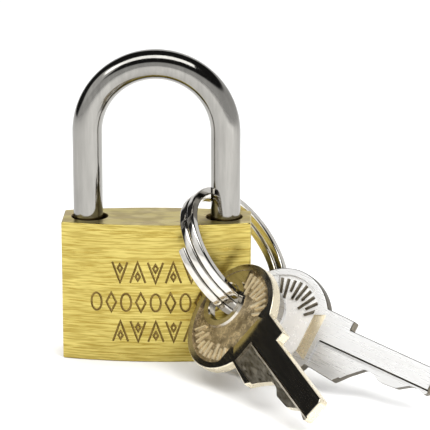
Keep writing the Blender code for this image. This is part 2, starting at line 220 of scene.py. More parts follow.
# ----------------------------------------------------------------- materials

MIX_AMOUNT, MIX_FIRST, MIX_SECOND, MIX_RESULT = 0, 6, 7, 2  # a Mix node's sockets for colours


class Nodes:
    """A material's node tree, with short ways to add to it."""

    def __init__(self, name):
        self.material = bpy.data.materials.new(name)
        self.material.use_nodes = True
        self.tree = self.material.node_tree
        self.shader = self.tree.nodes["Principled BSDF"]

    def add(self, kind, **settings):
        """A new node with its settings."""
        node = self.tree.nodes.new(kind)
        for key, value in settings.items():
            setattr(node, key, value)
        return node

    def wire(self, source, target):
        """Connect two sockets."""
        self.tree.links.new(source, target)

    def noise(self, scale, detail=3.0, rough=0.55):
        """Noise between 0 and 1 over object coordinates, with its own scale on each axis."""
        where = self.add("ShaderNodeTexCoord")
        mapping = self.add("ShaderNodeMapping")
        mapping.inputs["Scale"].default_value = scale
        self.wire(where.outputs["Object"], mapping.inputs["Vector"])
        node = self.add("ShaderNodeTexNoise")
        node.inputs["Scale"].default_value = 1.0
        node.inputs["Detail"].default_value = detail
        node.inputs["Roughness"].default_value = rough
        self.wire(mapping.outputs["Vector"], node.inputs["Vector"])
        return node.outputs["Fac"]

    def spread(self, source, band, target=(0.0, 1.0)):
        """Map a band of a value to a target range."""
        node = self.add("ShaderNodeMapRange")
        node.inputs["From Min"].default_value = band[0]
        node.inputs["From Max"].default_value = band[1]
        node.inputs["To Min"].default_value = target[0]
        node.inputs["To Max"].default_value = target[1]
        self.wire(source, node.inputs["Value"])
        return node.outputs["Result"]

    def blend(self, amount, first, second):
        """A colour between two, by an amount; each may be a colour or a socket."""
        node = self.add("ShaderNodeMix", data_type="RGBA")
        self.wire(amount, node.inputs[MIX_AMOUNT])
        for socket, value in ((node.inputs[MIX_FIRST], first), (node.inputs[MIX_SECOND], second)):
            if isinstance(value, bpy.types.NodeSocket):
                self.wire(value, socket)
            else:
                socket.default_value = (*value, 1)
        return node.outputs[MIX_RESULT]

    def streaks(self, bright, dull, layers, cloud):
        """A colour between dull and bright by two layers of streaks, dulled again by a cloud.

        Each layer, and the cloud, is a noise, the band of it that shows, and its share.
        """
        tone = self.add("ShaderNodeMath", operation="ADD")
        for socket, (noise, band, share) in zip(tone.inputs, layers):
            self.wire(self.spread(noise, band, (0.0, share)), socket)
        streaked = self.blend(tone.outputs[0], dull, bright)
        noise, band, share = cloud
        return self.blend(self.spread(noise, band, (0.0, share)), streaked, dull)

    def bump(self, height, strength, distance):
        """A bump from a height, its distance in metres."""
        node = self.add("ShaderNodeBump")
        node.inputs["Strength"].default_value = strength
        node.inputs["Distance"].default_value = distance
        self.wire(height, node.inputs["Height"])
        return node.outputs["Normal"]

    def finish(self, colour, roughness, normal=None, metallic=1.0):
        """Connect the shader."""
        self.shader.inputs["Metallic"].default_value = metallic
        self.wire(colour, self.shader.inputs["Base Color"])
        self.wire(roughness, self.shader.inputs["Roughness"])
        if normal is not None:
            self.wire(normal, self.shader.inputs["Normal"])
        return self.material


# A band is the part of a noise's values that is stretched over the whole range.
ROUGH_BAND = (0.3, 0.7)
GRAIN_BAND = (0.35, 0.65)
GRAIN_SHARE = 0.5
COARSE_SCALE = 0.31  # the coarse grain's scale, as a part of the fine one's
GRAIN_BUMP = 0.6
PATCH_SCALE = (90, 90, 90)
PATCH_BAND = (0.35, 0.7)
PATCH_SHARE = 0.35


def worn_metal(name, bright, dull, grain, rough, depth, metallic=1.0):
    """Metal with a directional grain, patches of duller tone and fine scratches.

    grain is the noise scale along each axis, so a small number is the way the grain runs.
    """
    nodes = Nodes(name)
    fine = nodes.noise(grain, detail=4.0, rough=0.6)
    coarse = nodes.noise(tuple(value * COARSE_SCALE for value in grain), detail=2.0)
    patches = nodes.noise(PATCH_SCALE, detail=2.0)
    layers = ((fine, GRAIN_BAND, GRAIN_SHARE), (coarse, GRAIN_BAND, 1 - GRAIN_SHARE))
    shade = nodes.streaks(bright, dull, layers, (patches, PATCH_BAND, PATCH_SHARE))
    roughness = nodes.spread(fine, ROUGH_BAND, rough)
    return nodes.finish(shade, roughness, nodes.bump(fine, GRAIN_BUMP, depth), metallic)


FINE_STROKE_BAND = (0.43, 0.56)
LONG_STROKE_BAND = (0.38, 0.62)
FINE_STROKE_SHARE = 0.62
STROKE_BUMP = 0.5
CLOUD_SCALE = (120, 120, 260)
CLOUD_BAND = (0.4, 0.7)
CLOUD_SHARE = 0.25


def scratched_metal(name, bright, dull, fine_strokes, long_strokes, rough, depth):
    """Metal with two sets of short level scratches, light and dark, over soft clouds of tone."""
    nodes = Nodes(name)
    fine = nodes.noise(fine_strokes, detail=2.0, rough=0.5)
    long = nodes.noise(long_strokes, detail=2.0, rough=0.5)
    cloud = nodes.noise(CLOUD_SCALE, detail=2.0)
    layers = ((fine, FINE_STROKE_BAND, FINE_STROKE_SHARE), (long, LONG_STROKE_BAND, 1 - FINE_STROKE_SHARE))
    shade = nodes.streaks(bright, dull, layers, (cloud, CLOUD_BAND, CLOUD_SHARE))
    roughness = nodes.spread(long, ROUGH_BAND, rough)
    return nodes.finish(shade, roughness, nodes.bump(fine, STROKE_BUMP, depth))


brushed_brass = scratched_metal(
    "brushed_brass",
    bright=(0.68, 0.565, 0.172),
    dull=(0.37, 0.27, 0.055),
    fine_strokes=(190, 300, 3300),
    long_strokes=(90, 300, 1700),
    rough=(0.24, 0.42),
    depth=0.02 * MM,
)
# Painted shade: the drilled holes and engraved grooves get this darker brass, standing for the shade
# inside these hollows.
hollow_shade_brass = worn_metal(
    "hollow_shade_brass",
    bright=(0.40, 0.28, 0.09),
    dull=(0.16, 0.10, 0.03),
    grain=(900, 900, 900),
    rough=(0.4, 0.6),
    depth=0.02 * MM,
)
turned_brass = worn_metal(
    "turned_brass",
    bright=(0.76, 0.60, 0.22),
    dull=(0.50, 0.36, 0.12),
    grain=(700, 700, 2400),
    rough=(0.22, 0.4),
    depth=0.01 * MM,
)
satin_chrome = worn_metal(
    "satin_chrome",
    bright=(0.37, 0.36, 0.335),
    dull=(0.27, 0.262, 0.245),
    grain=(1500, 1500, 160),
    rough=(0.07, 0.14),
    depth=0.002 * MM,
)
spring_steel = worn_metal(
    "spring_steel",
    bright=(0.52, 0.52, 0.52),
    dull=(0.30, 0.30, 0.31),
    grain=(900, 900, 900),
    rough=(0.3, 0.45),
    depth=0.008 * MM,
)
pin_steel = worn_metal(
    "pin_steel",
    bright=(0.66, 0.65, 0.63),
    dull=(0.45, 0.44, 0.43),
    grain=(1800, 600, 600),
    rough=(0.22, 0.36),
    depth=0.006 * MM,
)
ring_nickel = worn_metal(
    "ring_nickel",
    bright=(0.88, 0.86, 0.82),
    dull=(0.62, 0.59, 0.53),
    grain=(700, 700, 700),
    rough=(0.04, 0.10),
    depth=0.004 * MM,
)
bright_nickel = worn_metal(
    "bright_nickel",
    bright=(0.67, 0.67, 0.665),
    dull=(0.62, 0.615, 0.60),
    grain=(160, 2600, 900),
    rough=(0.24, 0.36),
    depth=0.004 * MM,
    metallic=0.6,
)
# Painted highlight: key 2's sunk field is near-white, lighter than the key's own nickel, standing for the
# light its bow shows.
sheen_white_field = worn_metal(
    "sheen_white_field",
    bright=(0.98, 0.98, 0.97),
    dull=(0.90, 0.89, 0.87),
    grain=(900, 900, 900),
    rough=(0.2, 0.3),
    depth=0.015 * MM,
    metallic=0.2,
)
# Painted shade: key 2's side faces and its ticks are dark brown, standing for the dark outlines and shade
# round them.
edge_shade_nickel = worn_metal(
    "edge_shade_nickel",
    bright=(0.24, 0.215, 0.17),
    dull=(0.10, 0.085, 0.06),
    grain=(500, 500, 2600),
    rough=(0.24, 0.4),
    depth=0.01 * MM,
)
# Painted reflection: key 1's sunk field runs from near-black to gold, standing for the dark surroundings
# and the brass reflected in it.
reflected_brass_nickel = worn_metal(
    "reflected_brass_nickel",
    bright=(0.78, 0.62, 0.36),
    dull=(0.10, 0.07, 0.035),
    grain=(850, 850, 850),
    rough=(0.16, 0.34),
    depth=0.06 * MM,
    metallic=0.6,
)
# Painted highlight: the keys' steps and key 1's ticks get this pale gold, standing for edges that catch
# the light.
golden_highlight_nickel = worn_metal(
    "golden_highlight_nickel",
    bright=(0.95, 0.84, 0.60),
    dull=(0.66, 0.55, 0.35),
    grain=(850, 850, 850),
    rough=(0.14, 0.28),
    depth=0.03 * MM,
    metallic=0.6,
)
# Painted highlight and reflection: key 1's edges get this warm nickel for the light they catch, and key
# 2's slope for the brass reflected in it.
warm_sheen_nickel = worn_metal(
    "warm_sheen_nickel",
    bright=(0.88, 0.80, 0.62),
    dull=(0.78, 0.70, 0.52),
    grain=(300, 300, 300),
    rough=(0.2, 0.34),
    depth=0.01 * MM,
    metallic=0.7,
)
milled_nickel = worn_metal(
    "milled_nickel",
    bright=(0.62, 0.58, 0.50),
    dull=(0.22, 0.19, 0.14),
    grain=(700, 2200, 1200),
    rough=(0.26, 0.5),
    depth=0.03 * MM,
)
# Painted shade: near-black for the fine line at the top of each key's milling, standing for the shade in
# that crease.
painted_crease_shade = worn_metal(
    "painted_crease_shade",
    bright=(0.16, 0.12, 0.07),
    dull=(0.05, 0.035, 0.02),
    grain=(1200, 1200, 1200),
    rough=(0.4, 0.6),
    depth=0.02 * MM,
)
dark_nickel = worn_metal(
    "dark_nickel",
    bright=(0.66, 0.62, 0.54),
    dull=(0.44, 0.40, 0.33),
    grain=(160, 2600, 900),
    rough=(0.10, 0.18),
    depth=0.004 * MM,
)


def wear(piece, *metals):
    """Give a piece its metals, the first one everywhere that has no other."""
    piece.data.materials.clear()
    for metal in metals:
        piece.data.materials.append(metal)
    return piece


# -------------------------------------------------------------------- casing

body_low, body_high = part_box("casing")
half_width = (body_high.x - body_low.x) / 2
half_depth = (body_high.y - body_low.y) / 2
body_top = body_high.z
SIDE_HALF_DEPTH = 5.2 * MM
crown = half_depth - SIDE_HALF_DEPTH
crown_radius = (half_width**2 + crown**2) / (2 * crown)
FACE_STEPS = 61
EDGE_BEVEL = 0.35 * MM

# The drillings are those of the CAD casing.
LEG_HOLE_RADIUS = 3.85 * MM
LEG_HOLE_X = 14.55 * MM
TOE_HOLE_Z = 19.9 * MM
HEEL_HOLE_Z = 3.0 * MM
LEG_HOLE_CHAMFER = 0.2 * MM
OVERLAP = 0.05 * MM  # how far the chamfer's cutter reaches into the hole and past the top
PLUG_BORE_RADIUS = 5.0 * MM
PLUG_BORE_TOP = 22.3 * MM
CAM_BORE_RADIUS = 2.9 * MM
CAM_BORE_LOW = 22.0 * MM
LATCH_BORE_RADIUS = 2.5 * MM
LATCH_BORE_END = -9.6 * MM
CHAMBER_RADIUS = 1.3 * MM
PIN_HOLES = {"shackle_pin": 1.05 * MM, "plug_pin": 0.95 * MM}
PIN_HOLE_START = -3.5 * MM
PRESS_FIT = 0.02 * MM
DISC_BEVEL = 0.12 * MM
DISC_PROUD = 0.05 * MM
DISC_SUNK = 0.12 * MM

plug_low, plug_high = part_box("plug")
plug_x = (plug_low.x + plug_high.x) / 2
latch_low, latch_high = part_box("latch")
latch_z = (latch_low.z + latch_high.z) / 2
stack_names = sorted(name for name in frame["nodes"] if name.startswith("chamber_plug"))

GROOVE_RADIUS = 0.24 * MM
GROOVE_SIDES = 8
MITRE_LIMIT = 0.25  # keeps the cutter narrow where a line turns back on itself

# The ornament's sizes are in millimetres.
STEPS_PER_MM = 0.9
MIDDLE_COUNT, MIDDLE_PITCH, MIDDLE_HEIGHT = 9, 3.2, 13.4
OVAL_WIDE, OVAL_TALL, OVAL_SIDES = 1.1, 1.95, 18
LOZENGE_WIDE, LOZENGE_TALL = 1.05, 2.1
CHEVRON_COUNT, CHEVRON_PITCH = 5, 3.83
CHEVRON_WIDE, CHEVRON_TALL = 1.65, 4.6
UPPER_ROW, LOWER_ROW = 17.8, 9.2
SMALL_LOZENGE_WIDE, SMALL_LOZENGE_TALL, SMALL_LOZENGE_AT = 0.5, 0.85, 0.3


def front_y(x):
    """The casing's front face at a given x."""
    return -(SIDE_HALF_DEPTH + math.sqrt(crown_radius**2 - x**2) - (crown_radius - crown))


def groove(route, closed):
    """A round cutter along a route on the front face."""
    count = len(route)

    def sideways(index):
        before = route[index - 1] if closed or index else route[0]
        after = route[(index + 1) % count] if closed or index < count - 1 else route[-1]
        along = (after - before).normalized()
        across = along.cross(Y_AXIS).normalized()
        mitre = 1.0
        if closed or 0 < index < count - 1:
            bend = (route[index] - before).normalized().dot((after - route[index]).normalized())
            mitre = 1 / math.sqrt(max(MITRE_LIMIT, (1 + bend) / 2))
        return across * mitre, Y_AXIS

    return sweep(route, circle(GROOVE_RADIUS, GROOVE_SIDES), sideways, closed)


def stroke(points):
    """An engraved line on the front face through (x, z) points in millimetres."""
    path = []
    for (x0, z0), (x1, z1) in zip(points, points[1:]):
        count = max(1, round(math.hypot(x1 - x0, z1 - z0) * STEPS_PER_MM))
        for step in range(count):
            share = step / count
            path.append((x0 + (x1 - x0) * share, z0 + (z1 - z0) * share))
    closed = points[0] == points[-1]
    if not closed:
        path.append(points[-1])
    return groove([Vector((x * MM, front_y(x * MM), z * MM)) for x, z in path], closed)


def oval(x, z, wide, tall):
    """The closed outline of an upright oval, in millimetres."""
    points = []
    for index in range(OVAL_SIDES):
        angle = 2 * math.pi * index / OVAL_SIDES
        points.append((x + wide * math.cos(angle), z + tall * math.sin(angle)))
    return [*points, points[0]]


def lozenge(x, z, wide, tall):
    """The closed outline of an upright lozenge, in millimetres."""
    return [(x - wide, z), (x, z + tall), (x + wide, z), (x, z - tall), (x - wide, z)]


def ornament():
    """The engraved ornament: a row of ovals and lozenges between two mirrored rows of chevrons."""
    lines = []
    for index in range(MIDDLE_COUNT):
        x = MIDDLE_PITCH * (index - MIDDLE_COUNT // 2)
        if index % 2:
            lines.append(lozenge(x, MIDDLE_HEIGHT, LOZENGE_WIDE, LOZENGE_TALL))
        else:
            lines.append(oval(x, MIDDLE_HEIGHT, OVAL_WIDE, OVAL_TALL))
    for near, far in ((UPPER_ROW, UPPER_ROW + CHEVRON_TALL), (LOWER_ROW, LOWER_ROW - CHEVRON_TALL)):
        for index in range(CHEVRON_COUNT):
            x = CHEVRON_PITCH * (index - CHEVRON_COUNT // 2)
            foot, tip = (near, far) if index % 2 else (far, near)
            lines.append([(x - CHEVRON_WIDE, foot), (x, tip), (x + CHEVRON_WIDE, foot)])
            z = foot + (tip - foot) * SMALL_LOZENGE_AT
            lines.append(lozenge(x, z, SMALL_LOZENGE_WIDE, SMALL_LOZENGE_TALL))
    return [stroke(line) for line in lines]


def middle(name):
    """The middle of a CAD node."""
    low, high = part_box(name)
    return (low + high) / 2


def drillings():
    """A cutter for each of the casing's holes."""
    wall = half_width + BEYOND
    holes = []
    for x, floor in ((-LEG_HOLE_X, HEEL_HOLE_Z), (LEG_HOLE_X, TOE_HOLE_Z)):
        holes.append(rod((x, 0, floor), (x, 0, body_top + BEYOND), LEG_HOLE_RADIUS, FINE_ROUND))
        reach = LEG_HOLE_CHAMFER + OVERLAP
        low, high = (x, 0, body_top - reach), (x, 0, body_top + reach)
        wide = LEG_HOLE_RADIUS + LEG_HOLE_CHAMFER + reach
        holes.append(rod(low, high, LEG_HOLE_RADIUS - OVERLAP, FINE_ROUND, wide))
    holes.append(rod((plug_x, 0, -BEYOND), (plug_x, 0, PLUG_BORE_TOP), PLUG_BORE_RADIUS, FINE_ROUND))
    holes.append(rod((plug_x, 0, CAM_BORE_LOW), (plug_x, 0, latch_z), CAM_BORE_RADIUS, SMALL_ROUND))
    holes.append(rod((LATCH_BORE_END, 0, latch_z), (wall, 0, latch_z), LATCH_BORE_RADIUS, ROUND))
    for name in stack_names:
        height = middle(name).z
        holes.append(rod((plug_x, 0, height), (wall, 0, height), CHAMBER_RADIUS, SMALL_ROUND))
    for name, radius in PIN_HOLES.items():
        spot = middle(name)
        low, high = (spot.x, PIN_HOLE_START, spot.z), (spot.x, half_depth + BEYOND, spot.z)
        holes.append(rod(low, high, radius, SMALL_ROUND))
    return holes


def make_casing():
    """The brass body with rounded edges, every drilling and the engraved ornament."""
    face = [-half_width + 2 * half_width * step / FACE_STEPS for step in range(FACE_STEPS + 1)]
    outline = [(x, front_y(x)) for x in face] + [(-x, -front_y(x)) for x in face]
    casing = bevel(plate(outline, 0.0, body_top), EDGE_BEVEL)
    # The second metal, the darker brass, paints shade into every drilling and groove cut below.
    wear(casing, brushed_brass, hollow_shade_brass)
    for cutter in [*drillings(), *ornament()]:
        boolean(casing, wear(cutter, hollow_shade_brass))
    casing.name = "casing_shell"
    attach(casing, "casing")
    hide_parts("casing")
    return smooth(casing, angle=28)


def make_wall_plugs():
    """The discs that close the drillings in the right side and in the back, milled almost flush."""
    discs = []
    for name in [*stack_names, "latch_bore_plug"]:
        low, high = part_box(name)
        spot = (low + high) / 2
        radius = (LATCH_BORE_RADIUS if name == "latch_bore_plug" else CHAMBER_RADIUS) - PRESS_FIT
        proud = high.x + DISC_PROUD
        discs.append((name, rod((low.x, 0, spot.z), (proud, 0, spot.z), radius, SMALL_ROUND)))
    for name, radius in PIN_HOLES.items():
        low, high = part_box(name)
        spot = (low + high) / 2
        sunk = -front_y(spot.x) - DISC_SUNK
        start, end = (spot.x, low.y, spot.z), (spot.x, sunk, spot.z)
        discs.append((name, rod(start, end, radius - PRESS_FIT, SMALL_ROUND)))
    for name, disc in discs:
        bevel(disc, DISC_BEVEL, segments=2)
        disc.name = name + "_disc"
        wear(disc, turned_brass)
        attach(disc, "casing")
        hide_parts(name)
        smooth(disc)


# ------------------------------------------------------------------- shackle

shackle_low, shackle_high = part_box("shackle")
rod_radius = (shackle_high.y - shackle_low.y) / 2
leg_x = shackle_high.x - rod_radius
arch_z = shackle_high.z - rod_radius - leg_x
heel_end = shackle_low.z
TOE_END = 20.4 * MM
HEEL_STEPS, ARCH_STEPS, TOE_STEPS = 24, 72, 12
END_BEVEL = 0.4 * MM
NECK_LOW, NECK_HIGH, NECK_RADIUS = 10.0 * MM, 24.0 * MM, 2.0 * MM
NOTCH_HALF_HEIGHT = 2.8 * MM
NOTCH_FLOOR = 0.7 * MM


def make_shackle():
    """The round bar of the shackle with its neck, its notch and softened ends."""
    path = []
    for step in range(HEEL_STEPS):
        path.append(Vector((-leg_x, 0, heel_end + (arch_z - heel_end) * step / HEEL_STEPS)))
    for step in range(ARCH_STEPS + 1):
        angle = math.pi * (1 - step / ARCH_STEPS)
        path.append(Vector((leg_x * math.cos(angle), 0, arch_z + leg_x * math.sin(angle))))
    for step in range(1, TOE_STEPS + 1):
        path.append(Vector((leg_x, 0, arch_z + (TOE_END - arch_z) * step / TOE_STEPS)))

    def sideways(index):
        before = path[max(0, index - 1)]
        after = path[min(len(path) - 1, index + 1)]
        return (after - before).normalized().cross(Y_AXIS), Y_AXIS

    bar = bevel(sweep(path, circle(rod_radius, ROUND), sideways), END_BEVEL, angle=60)
    outside = rod_radius + BEYOND
    neck = rod((-leg_x, 0, NECK_LOW), (-leg_x, 0, NECK_HIGH), outside, FINE_ROUND)
    core_low, core_high = (-leg_x, 0, NECK_LOW - BEYOND), (-leg_x, 0, NECK_HIGH + BEYOND)
    boolean(neck, rod(core_low, core_high, NECK_RADIUS, FINE_ROUND))
    boolean(bar, neck)
    notch_low = (leg_x - outside, -outside, latch_z - NOTCH_HALF_HEIGHT)
    notch_high = (leg_x - NOTCH_FLOOR, outside, latch_z + NOTCH_HALF_HEIGHT)
    boolean(bar, box(notch_low, notch_high))
    bar.name = "shackle_bar"
    wear(bar, satin_chrome)
    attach(bar, "shackle")
    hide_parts("shackle")
    return smooth(bar, angle=32)


# ------------------------------------------------------------------ key ring

RING_START = 155  # degrees round the ring to the wire's first end
RING_TURNS = 2
RING_OVERLAP = 67  # degrees that the wire goes on after its whole turns
RING_RAMP = 26  # degrees over which it steps to the next layer
RING_STEPS = 326
FIRST_LAYER = -1.5  # in layers from the ring's middle
LAYER_GAP = 0.2 * MM
RING_CORNER = 0.42 * MM


def make_key_ring():
    """The split ring: flat wire coiled a little over twice, so three layers lie together on one side."""
    joint = JOINTS["key_ring_turn"]
    centre = Vector(joint["pos_m"])
    axis = Vector(joint["axis"]).normalized()
    first = Z_AXIS.cross(axis).normalized()
    second = axis.cross(first)
    places = [point.co - centre for point in frame["nodes"]["key_ring"].data.vertices]
    heights = [place.dot(axis) for place in places]
    reaches = [(place - axis * height).length for place, height in zip(places, heights)]
    radius = (max(reaches) + min(reaches)) / 2
    layer = (max(heights) - min(heights)) / 2

    def height_at(turned_by):
        """How far along the axis the wire lies, after so many degrees from its first end."""
        whole, part = divmod(turned_by, 360)
        climb = min(1.0, max(0.0, (part - RING_OVERLAP) / RING_RAMP))
        eased = climb * climb * (3 - 2 * climb)
        return layer * (whole + FIRST_LAYER + eased)

    path, directions = [], []
    for step in range(RING_STEPS + 1):
        turned_by = (360 * RING_TURNS + RING_OVERLAP) * step / RING_STEPS
        angle = math.radians(RING_START + turned_by)
        out = first * math.cos(angle) + second * math.sin(angle)
        path.append(centre + out * radius + axis * height_at(turned_by))
        directions.append((out, axis))
    half_out, half_across = (max(reaches) - min(reaches)) / 2, (layer - LAYER_GAP) / 2
    section = rounded_rectangle(half_out, half_across, RING_CORNER)
    ring = sweep(path, section, lambda index: directions[index])
    ring.name = "split_ring"
    wear(ring, ring_nickel)
    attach(ring, "key_ring")
    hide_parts("key_ring")
    return smooth(ring, angle=40)


# ---------------------------------------------------------------------- keys

# Each key's two directions, from its hole to its tip and from its hole to its straight edge.
KEY_DIRECTIONS = {
    "key_1": (Vector((0.386, -0.889, -0.247)), Vector((0.64, 0.065, 0.766))),
    "key_2": (Vector((0.755, -0.635, -0.161)), Vector((0.446, 0.32, 0.836))),
}
KEY_METALS = {
    # Key 1: its field, edges, ticks and step carry painted reflection and highlight; its line is painted
    # shade.
    "key_1": {
        "face": dark_nickel,
        "edge": warm_sheen_nickel,
        "field": reflected_brass_nickel,
        "milling": milled_nickel,
        "line": painted_crease_shade,
        "tick": golden_highlight_nickel,
        "slope": dark_nickel,
        "step": golden_highlight_nickel,
    },
    # Key 2: its field is painted highlight, its edges and ticks painted shade, its slope painted
    # reflection, its step painted highlight, its line painted shade.
    "key_2": {
        "face": bright_nickel,
        "edge": edge_shade_nickel,
        "field": sheen_white_field,
        "milling": bright_nickel,
        "line": painted_crease_shade,
        "tick": edge_shade_nickel,
        "slope": warm_sheen_nickel,
        "step": golden_highlight_nickel,
    },
}

# A key's sizes are in millimetres from the middle of its hole: x to its tip, y to its straight edge
# and z off its middle plane.
HALF = 1.15  # half the thickness
CLEAR = HALF + 0.4  # where the cutters end, above the face
KEY_BEVEL = 0.3
FLAT_LIMIT = 0.9  # a surface whose normal has less z than this belongs to the edge
HOLE_RADIUS = 4.2
FLARE_LOW, FLARE_HIGH = 0.6 * HALF, 1.2 * HALF
FLARE_RADIUS, FLARE_TOP_RADIUS = HOLE_RADIUS - 0.1, HOLE_RADIUS + 0.6
BOW_X, BOW_Y = 5.0, -0.8
BOW_LONG, BOW_WIDE = 12.3, 12.2
BOW_START, BOW_END, BOW_STEP = 36, 333, 4.5
BOW_RIM = 1.6
FIELD = HALF - 0.6  # the height of the sunk field
FIELD_END = 12.2
FIELD_DRAFT = 0.25
FIELD_TOP, FIELD_BOTTOM = 3.9, -4.3
SLOPE_RISE = 0.3
SLOPE_TOP, SLOPE_BOTTOM = 5.0, -5.6
STEP_BACK, STEP_WIDE, STEP_RISE = 0.3, 0.55, 0.4
BOSS_RADIUS, BOSS_TOP_RADIUS = 6.0, 5.7
ARCH_START, ARCH_END = 118, 168
ARCH_INSIDE = ((-3.9, 2.6), (-1.0, 5.0), (1.2, 6.2))
FOOT, TICK_FOOT = 0.1, 0.05  # how deep the raised parts stand in the field
BOSS_BELOW_FACE, BELOW_FACE = 0.1, 0.15  # how far the raised parts' tops stay below the face
TICK_PITCH = 9.5
TICK_NEAR_HALF, TICK_FAR_HALF = 0.28, 0.35
TICK_CREST = 0.55
TICK_FANS = ((38, 124, 6.4, 10.2), (232, 322, 7.2, 10.3))  # directions, then near and far ends
UNEVEN_NEAR, UNEVEN_FAR, UNEVEN_TURN = 0.9, 0.4, 2.4
COLLAR_START = 15.3
COLLAR_END = 22.3
COLLAR_TOP, COLLAR_BOTTOM = 6.2, -7.0
SPINE = 4.2
KEY_TIP = 45.2
PAST_TIP = KEY_TIP + 1.0
MILLING_START = 16.3
MILLING_TOP, MILLING_BOTTOM = -0.4, COLLAR_BOTTOM + 1.3
MILLING_DEPTH = 0.5
MILLING_SLOPE = 0.7
LINE_START = 16.6
LINE_SECTION = (
    (MILLING_TOP - 0.12, HALF - 0.42),
    (MILLING_TOP - 0.35, HALF + 0.1),
    (MILLING_TOP + 0.16, HALF + 0.1),
)
BACK_GROOVE_START = 24.0
BACK_GROOVE_LOW, BACK_GROOVE_HIGH, BACK_GROOVE_DEPTH = 1.2, 2.6, 0.5
BITTING = (
    (23.7, COLLAR_BOTTOM),
    (26.2, -4.5),
    (29.4, -1.9),
    (31.6, -2.0),
    (33.4, -3.0),
    (37.9, -2.7),
    (40.6, -1.1),
    (42.2, -0.9),
    (44.4, -1.5),
    (KEY_TIP, -0.9),
)
TIP_CORNER = ((KEY_TIP + 0.1, SPINE - 0.8), (KEY_TIP - 0.6, SPINE))
MIRROR = Matrix.Diagonal((1, 1, -1, 1))


def scaled(points):
    """Points in millimetres, in metres."""
    return [tuple(value * MM for value in point) for point in points]


def bow(shrink, start=BOW_START, end=BOW_END):
    """The bow's oval pulled in by a margin, between two directions in degrees."""
    points = []
    count = round((end - start) / BOW_STEP)
    for index in range(count + 1):
        angle = math.radians(start + (end - start) * index / count)
        x = BOW_X + (BOW_LONG - shrink) * math.cos(angle)
        points.append((x, BOW_Y + (BOW_WIDE - shrink) * math.sin(angle)))
    return points


def key_matrix(name):
    """Where a key drawn round its own hole lies."""
    along, spine = KEY_DIRECTIONS[name]
    along = along.normalized()
    spine = (spine - along * spine.dot(along)).normalized()
    turn = Matrix((along, spine, along.cross(spine))).transposed().to_4x4()
    return Matrix.Translation(Vector(JOINTS[name + "_swing"]["pos_m"])) @ turn


def key_blank(metals):
    """A key's flat shape with rounded edges, its edge in its own metal."""
    outline = [*bow(0), *BITTING, *TIP_CORNER, (COLLAR_END, SPINE), (COLLAR_END, COLLAR_TOP)]
    key = bevel(plate(scaled(outline), -HALF * MM, HALF * MM), KEY_BEVEL * MM, angle=25)
    slots = list(dict.fromkeys(metals.values()))
    wear(key, *slots)
    for face in key.data.polygons:
        part = "edge" if abs(face.normal.z) < FLAT_LIMIT else "face"
        face.material_index = slots.index(metals[part])
    return key


def across_key(profile):
    """A convex tool across the key, from (x, top, bottom, z) places."""
    return hull(scaled([(x, y, z) for x, top, bottom, z in profile for y in (top, bottom)]))


def along_key(start, section):
    """A convex tool along the key from a start to past its tip, from (y, z) points."""
    return hull(scaled([(x, y, z) for x in (start, PAST_TIP) for y, z in section]))


def face_cuts(metals):
    """Cutters for a face: the sunk field, the slope from it to the collar, and the step at its end."""
    pocket = [(min(x, FIELD_END), y) for x, y in bow(BOW_RIM)]
    recess = plate(scaled(pocket), FIELD * MM, CLEAR * MM, FIELD_DRAFT * MM)
    slope = across_key((
        (FIELD_END, FIELD_TOP, FIELD_BOTTOM, FIELD + SLOPE_RISE),
        (FIELD_END, FIELD_TOP, FIELD_BOTTOM, CLEAR),
        (COLLAR_START, SLOPE_TOP, SLOPE_BOTTOM, HALF),
        (COLLAR_START, SLOPE_TOP, SLOPE_BOTTOM, CLEAR),
    ))
    step = across_key((
        (FIELD_END - STEP_BACK, FIELD_TOP, FIELD_BOTTOM, FIELD),
        (FIELD_END - STEP_BACK, FIELD_TOP, FIELD_BOTTOM, CLEAR),
        (FIELD_END, FIELD_TOP, FIELD_BOTTOM, FIELD),
        (FIELD_END + STEP_WIDE, FIELD_TOP, FIELD_BOTTOM, FIELD + STEP_RISE),
        (FIELD_END + STEP_WIDE, FIELD_TOP, FIELD_BOTTOM, CLEAR),
    ))
    return [wear(recess, metals["field"]), wear(slope, metals["slope"]), wear(step, metals["step"])]


def blade_cuts(metals):
    """Cutters for the front of the blade: the milled flank, and the fine line at its top, painted dark as
    shade.
    """
    floor = HALF - MILLING_DEPTH
    flank = along_key(MILLING_START, (
        (MILLING_TOP, HALF),
        (MILLING_TOP, CLEAR),
        (MILLING_TOP - MILLING_SLOPE, floor),
        (MILLING_BOTTOM, floor),
        (MILLING_BOTTOM, CLEAR),
    ))
    line = along_key(LINE_START, LINE_SECTION)
    return [wear(flank, metals["milling"]), wear(line, metals["line"])]


def tick(angle, near, far):
    """One raised radial tick on the bow's field, a little wider at its far end."""
    turn = math.radians(angle)
    aim = Vector((math.cos(turn), math.sin(turn)))
    side = Vector((-aim.y, aim.x))
    centre = Vector((BOW_X, BOW_Y))
    corners = []
    for reach, half in ((near, TICK_NEAR_HALF), (far, TICK_FAR_HALF)):
        for sign in (-1, 1):
            foot = centre + aim * reach + side * (sign * half)
            crest = centre + aim * reach + side * (sign * half * TICK_CREST)
            corners += [(foot.x, foot.y, FIELD - TICK_FOOT), (crest.x, crest.y, HALF - BELOW_FACE)]
    return hull(scaled(corners))


